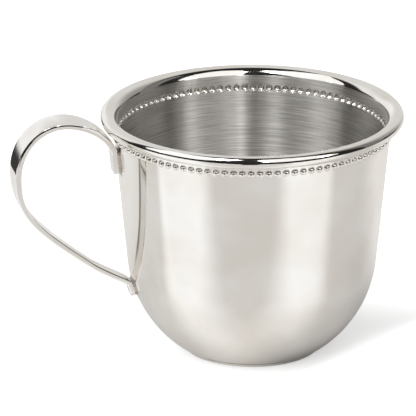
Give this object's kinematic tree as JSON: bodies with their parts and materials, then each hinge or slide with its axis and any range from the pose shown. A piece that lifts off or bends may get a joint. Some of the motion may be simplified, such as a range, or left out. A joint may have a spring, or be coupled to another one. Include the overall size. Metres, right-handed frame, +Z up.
{
  "type": "silver-plated cup",
  "caption": "Round-bottomed metal drinking cup with a rolled rim, an embossed bead row, a bent strip handle on one side and a thin base disc.",
  "frame": {"origin": "centre of the base disc's underside, on the cup's upright axis", "axes": "+Z up along the cup's axis; the handle points along -X and lies in the XZ plane; +Y is to the side"},
  "size_m": [0.099, 0.076, 0.0631],
  "materials": {
    "bowl_silver_plate": "mirror polish outside and on the rim, fine circular brushing inside",
    "handle_silver_plate": "mirror polish",
    "base_silver_plate": "mirror polish on the edge, fine circular brushing underneath",
    "solder": "plated over, satin"
  },
  "bodies": {
    "root": {"bowl": "bowl_silver_plate", "handle": "handle_silver_plate", "upper_handle_solder": "solder", "lower_handle_solder": "solder", "base_disc": "base_silver_plate", "base_solder": "solder"}
  },
  "joints": []
}
